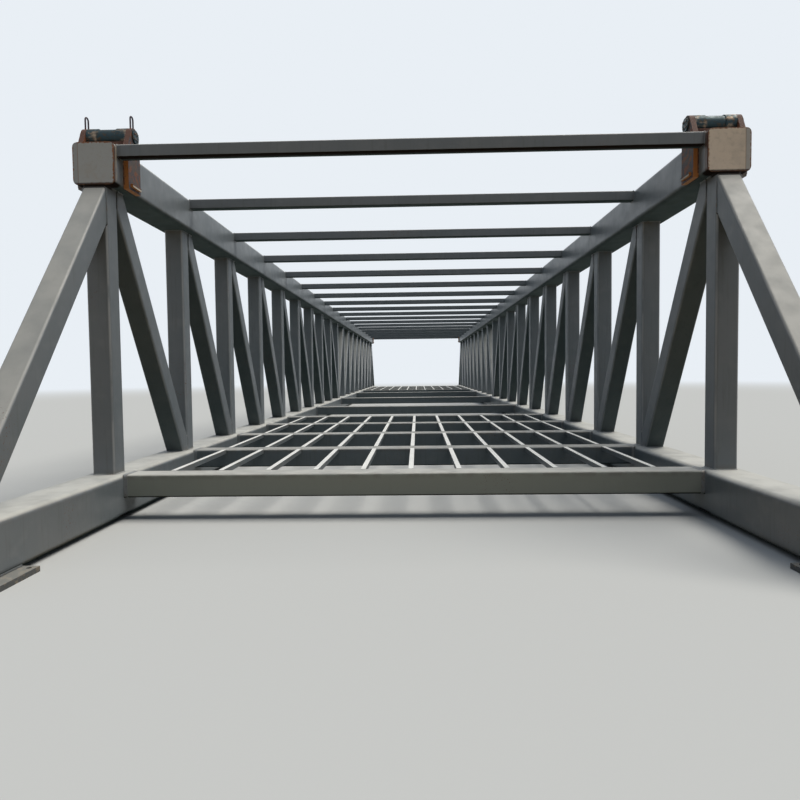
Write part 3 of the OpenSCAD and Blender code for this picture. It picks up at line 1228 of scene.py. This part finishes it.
@dataclass
class CapWelds(SubAssembly):
    """Rusty welds round the plates that close the chord ends."""

    sizes: BridgeSizes = SIZES
    leg: float = 0.005
    lap: float = 0.3

    def build(self) -> None:
        """Lays one ring round each of the eight plates, a share of its thickness out from the chord."""
        s = self.sizes
        size = s.chord - 2 * s.cap_inset
        for end in End:
            seam = Seam(f"welds_end_plates_{end.name.lower()}", self.leg)
            for side in Side:
                for z, half in ((s.z_floor - s.chord / 2, s.half_bottom), (s.z_under + s.chord / 2, s.half_top)):
                    middle = (side.value * s.chord_x, end.value * (half + s.cap_thickness * self.lap), z)
                    seam.lay(rounded_outline(middle, X_AXIS, Z_AXIS, size, size, s.chord_corner - s.cap_inset))
            self.pieces.append(Piece(seam.name, seam.mesh(), RUSTY_WELD, Slot.END_PLATE))


@dataclass
class BearingWelds(SubAssembly):
    """Heavy welds between the bottom chords and their bearing plates."""

    sizes: BridgeSizes = SIZES
    leg: float = 0.014

    def build(self) -> None:
        """Lays a bead along both sides of each chord on its plate."""
        s = self.sizes
        seam = Seam("welds_bearings", self.leg)
        middle = s.half_bottom - s.bottom_overhang
        # the chord's round corner leaves the plate before its side does
        reach = s.chord / 2 - s.chord_corner * 0.45
        for x in (side.value * s.chord_x + edge * reach for side in Side for edge in (-1, 1)):
            for end in End:
                ends = [end.value * (middle + k * (s.bearing_length / 2 - self.leg)) for k in (-1, 1)]
                seam.lay([(x, y, s.bearing_thickness + self.leg * 0.6) for y in ends], closed=False)
        self.pieces.append(Piece(seam.name, seam.mesh(), WELD_PAINT, Slot.BEARING))


@dataclass
class LiftingBracket(SubAssembly):
    """Welds and pin end bolts of one lifting bracket."""

    side: Side
    end: End
    sizes: BridgeSizes = SIZES
    leg: float = 0.010
    bolt_count: int = 4
    bolt_circle: float = 0.038
    across_flats: float = 0.019
    head_height: float = 0.008
    washer: float = 0.024
    washer_height: float = 0.0025

    @property
    def label(self) -> str:
        """Name of the bracket."""
        return f"{self.end.name.lower()}_{self.side.name.lower()}"

    def build(self) -> None:
        """Makes the welds and the bolts."""
        self.welds()
        self.bolts()

    def welds(self) -> None:
        """Lays the beads that hold both cheeks to the chord's sides and the saddle to its top."""
        s = self.sizes
        seam = Seam(f"welds_bracket_{self.label}", self.leg)
        low, high = s.z_under + s.chord_corner, s.z_top - s.chord_corner
        for face in (-1, 1):
            x = self.side.value * s.chord_x + face * s.chord / 2
            for y in (s.bracket_start, s.bracket_start - s.bracket_length):
                seam.lay([(x, self.end.value * y, z) for z in (low, high)], closed=False)
        for y in (s.pin_place - s.eye_radius, s.pin_place + s.eye_radius):
            ends = [self.side.value * s.chord_x + k * (s.chord / 2 - s.chord_corner) for k in (-1, 1)]
            seam.lay([(x, self.end.value * y, s.z_top) for x in ends], closed=False)
        self.pieces.append(Piece(seam.name, seam.mesh(), RUSTY_WELD, Slot.BRACKET))

    def bolts(self) -> None:
        """Makes hex heads on washers in the end collars of the pin."""
        s = self.sizes
        shape = bmesh.new()
        reach = s.chord / 2 + s.cheek_thickness + s.pin_clearance + s.collar_thickness
        for face in (-1, 1):
            x = self.side.value * s.chord_x + face * reach
            for k in range(self.bolt_count):
                turn = math.radians(45 + 360 / self.bolt_count * k)
                y = self.end.value * s.pin_place + self.bolt_circle * math.cos(turn)
                z = s.z_top + s.pin_height + self.bolt_circle * math.sin(turn)
                self.disc(shape, Vector((x, y, z)), face, 16, self.washer / 2, self.washer_height)
                head = Vector((x + face * self.washer_height, y, z))
                self.disc(shape, head, face, 6, self.across_flats / math.sqrt(3), self.head_height)
        name = f"pin_bolts_{self.label}"
        self.pieces.append(Piece(name, finished_mesh(name, shape), BOLT_ZINC, Slot.PIN))

    @staticmethod
    def disc(shape: bmesh.types.BMesh, foot: Vector, face: int, sides: int, radius: float, height: float) -> None:
        """Adds a disc or prism with a bevelled outer rim that stands on a face square to X.

        Args:
            shape: the bmesh that gets it.
            foot: middle of its foot.
            face: sign of X that it points to.
            sides: number of its sides.
            radius: its radius to the corners.
            height: its height.
        """
        turn = Matrix.Rotation(math.radians(90 * face), 4, "Y")
        place = Matrix.Translation(foot + X_AXIS * face * height / 2) @ turn
        made = bmesh.ops.create_cone(
            shape, cap_ends=True, segments=sides, radius1=radius, radius2=radius, depth=height, matrix=place
        )
        edges = {edge for vert in made["verts"] for edge in vert.link_edges}
        rim = [edge for edge in edges if all((v.co.x - foot.x) * face > height / 2 for v in edge.verts)]
        offset = min(radius, height) * 0.15
        bmesh.ops.bevel(shape, geom=rim, offset=offset, segments=2, profile=0.5, affect="EDGES", material=-1)


# ---------------------------------------------------------------- studio


@dataclass(frozen=True)
class PhotoCamera:
    """Camera at the photograph's viewpoint, between the near ends of the bottom chords."""

    x: float = 0.074
    y: float = -23.716
    z: float = 1.402
    focal_px: float = 640.0
    picture_px: float = 800.0
    sensor_mm: float = 36.0
    turn_right: float = -0.0277
    tilt_up: float = -0.0447
    roll: float = -0.0123

    def build(self) -> None:
        """Makes the camera and sets it as the scene's own."""
        data = bpy.data.cameras.new("photo_camera")
        data.sensor_width = self.sensor_mm
        data.lens = self.focal_px / self.picture_px * self.sensor_mm
        data.clip_start, data.clip_end = 0.1, 500.0
        level_right = Vector((math.cos(self.turn_right), -math.sin(self.turn_right), 0))
        level_ahead = Vector((math.sin(self.turn_right), math.cos(self.turn_right), 0))
        ahead = level_ahead * math.cos(self.tilt_up) + Z_AXIS * math.sin(self.tilt_up)
        rise = Z_AXIS * math.cos(self.tilt_up) - level_ahead * math.sin(self.tilt_up)
        right = level_right * math.cos(self.roll) + rise * math.sin(self.roll)
        top = rise * math.cos(self.roll) - level_right * math.sin(self.roll)
        camera = bpy.data.objects.new("photo_camera", data)
        camera.location = (self.x, self.y, self.z)
        camera.rotation_euler = Matrix((right, top, -ahead)).transposed().to_euler()
        bpy.context.scene.collection.objects.link(camera)
        bpy.context.scene.camera = camera


@dataclass(frozen=True)
class Studio:
    """Plain pale floor, pale surround and soft light from above."""

    floor_radius: float = 260.0
    floor_colour: str = "#C6C8C8"
    bounce_ahead: str = "#A08C6C"
    bounce_under: str = "#2C4B44"
    bounce_edge: float = -18.2
    surround: str = "#E9EFF5"
    fade_start: float = 20.0
    fade_end: float = 60.0
    sky_light: float = 0.5
    low_light: float = 0.07
    behind: float = 0.4
    sky_tint: str = "#DCE9FA"
    key_strength: float = 2.7
    key_angle: float = 40.0
    key_tint: str = "#FFF9EE"
    key_from: tuple[float, float, float] = (0.45, 0.06, 1.0)

    def build(self) -> None:
        """Makes the floor, the world and the key light."""
        self.floor()
        self.world()
        self.key()

    @staticmethod
    def seen(tree: bpy.types.NodeTree) -> Socket:
        """Tells the rays of the camera, of gloss and of glass from those that carry light.

        Args:
            tree: the node tree.

        Returns:
            1 for the rays that see, 0 for the others.
        """
        camera, gloss, glass = (add_node(tree, "LightPath", output=f"Is {kind} Ray") for kind in (
            "Camera", "Glossy", "Transmission"
        ))
        shiny = add_node(tree, "Math", (gloss, glass), operation="MAXIMUM")
        return add_node(tree, "Math", (camera, shiny), operation="MAXIMUM")

    def floor(self) -> None:
        """Lays a wide disc that fades to the colour of the surround far from the bridge."""
        shape = bmesh.new()
        bmesh.ops.create_circle(shape, cap_ends=True, segments=96, radius=self.floor_radius)
        floor = bpy.data.objects.new("studio_floor", finished_mesh("studio_floor", shape))
        if floor.data.polygons[0].normal.z < 0:
            floor.data.flip_normals()
        bpy.context.scene.collection.objects.link(floor)
        material = bpy.data.materials.new("studio_floor")
        material.use_nodes = True
        tree = material.node_tree
        tree.nodes.clear()
        place = add_node(tree, "TexCoord", output="Object")
        away = add_node(tree, "VectorMath", (place,), "Value", operation="LENGTH")
        seen = self.seen(tree)
        # light comes back warm from the floor before the near end, and dim and green from that under the bridge
        along = add_node(tree, "SeparateXYZ", (place,), "Y")
        under = add_node(tree, "MapRange", (along, self.bounce_edge - 0.5, self.bounce_edge + 0.5), **SOFT)
        zones = {0: under, 6: self.bounce_ahead, 7: self.bounce_under}
        bounce = add_node(tree, "Mix", zones, 2, data_type="RGBA")
        shown = add_node(tree, "Mix", {0: seen, 6: bounce, 7: self.floor_colour}, 2, data_type="RGBA")
        matt = add_node(tree, "BsdfDiffuse", (shown,))
        glow = add_node(tree, "Emission", (self.surround, seen))
        fade = add_node(tree, "MapRange", (away, self.fade_start, self.fade_end), **SOFT)
        add_node(tree, "OutputMaterial", (add_node(tree, "MixShader", (fade, matt, glow)),))
        floor.data.materials.append(material)

    def world(self) -> None:
        """Makes soft light, stronger from above and weaker from behind the camera, and a plain pale surround."""
        world = bpy.data.worlds.new("studio")
        bpy.context.scene.world = world
        world.use_nodes = True
        tree = world.node_tree
        tree.nodes.clear()
        direction = add_node(tree, "TexCoord", output="Generated")
        height = add_node(tree, "SeparateXYZ", (direction,), "Z")
        ahead = add_node(tree, "SeparateXYZ", (direction,), "Y")
        above = add_node(tree, "MapRange", (height, -0.05, 0.9, self.low_light, self.sky_light))
        share = add_node(tree, "MapRange", (ahead, -0.9, 0.1, self.behind, 1.0))
        strength = add_node(tree, "Math", (above, share), operation="MULTIPLY")
        lit = add_node(tree, "Background", (self.sky_tint, strength))
        seen = add_node(tree, "Background", (self.surround, 1.0))
        add_node(tree, "OutputWorld", (add_node(tree, "MixShader", (self.seen(tree), lit, seen)),))

    def key(self) -> None:
        """Hangs a wide lamp high on the right."""
        data = bpy.data.lights.new("key_light", "SUN")
        data.energy = self.key_strength
        data.angle = math.radians(self.key_angle)
        data.color = linear(self.key_tint)[:3]
        lamp = bpy.data.objects.new("key_light", data)
        lamp.rotation_euler = Vector(self.key_from).to_track_quat("Z", "Y").to_euler()
        bpy.context.scene.collection.objects.link(lamp)


# ---------------------------------------------------------------- main


def main() -> None:
    """Loads the bridge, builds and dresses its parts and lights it."""
    logging.basicConfig(level=logging.INFO, format="%(name)s: %(message)s")
    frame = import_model()
    PhotoCamera().build()
    Studio().build()
    parts: list[SubAssembly] = [Steelwork(frame), CrossWelds(), CapWelds(), BearingWelds()]
    parts += [TrussWelds(side) for side in Side]
    parts += [LiftingBracket(side, end) for side in Side for end in End]
    for part in parts:
        part.build()
        part.dress()
    bpy.context.scene.view_settings.view_transform = "Standard"


if __name__ == "__main__":
    main()
